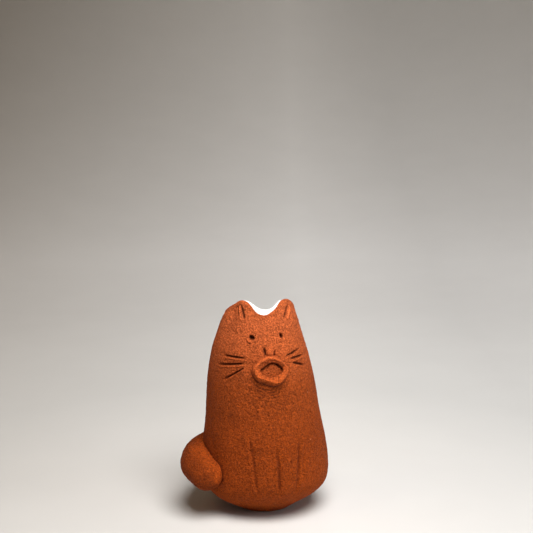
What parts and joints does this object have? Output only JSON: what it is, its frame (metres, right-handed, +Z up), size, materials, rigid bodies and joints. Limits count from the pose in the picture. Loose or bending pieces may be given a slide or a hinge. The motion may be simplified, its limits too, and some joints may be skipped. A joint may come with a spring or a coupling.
{
  "type": "bud vase",
  "caption": "Small hand-built bud vase shaped as a sitting cat, with pinched ears, a modelled face, a coiled tail and a glazed inside.",
  "frame": {"origin": "centre of the flat foot, on the surface the vase stands on", "axes": "+Z up, -Y the way the cat faces, +X to the right of someone looking at its face"},
  "size_m": [0.0445, 0.0408, 0.0646],
  "materials": {
    "terracotta": "matte, unglazed",
    "white_glaze": "gloss"
  },
  "bodies": {
    "root": {"body_wall": "terracotta", "base_slab": "terracotta", "tail": "terracotta", "nose": "terracotta", "mouth_ring": "terracotta", "glaze_lining": "white_glaze"}
  },
  "joints": []
}
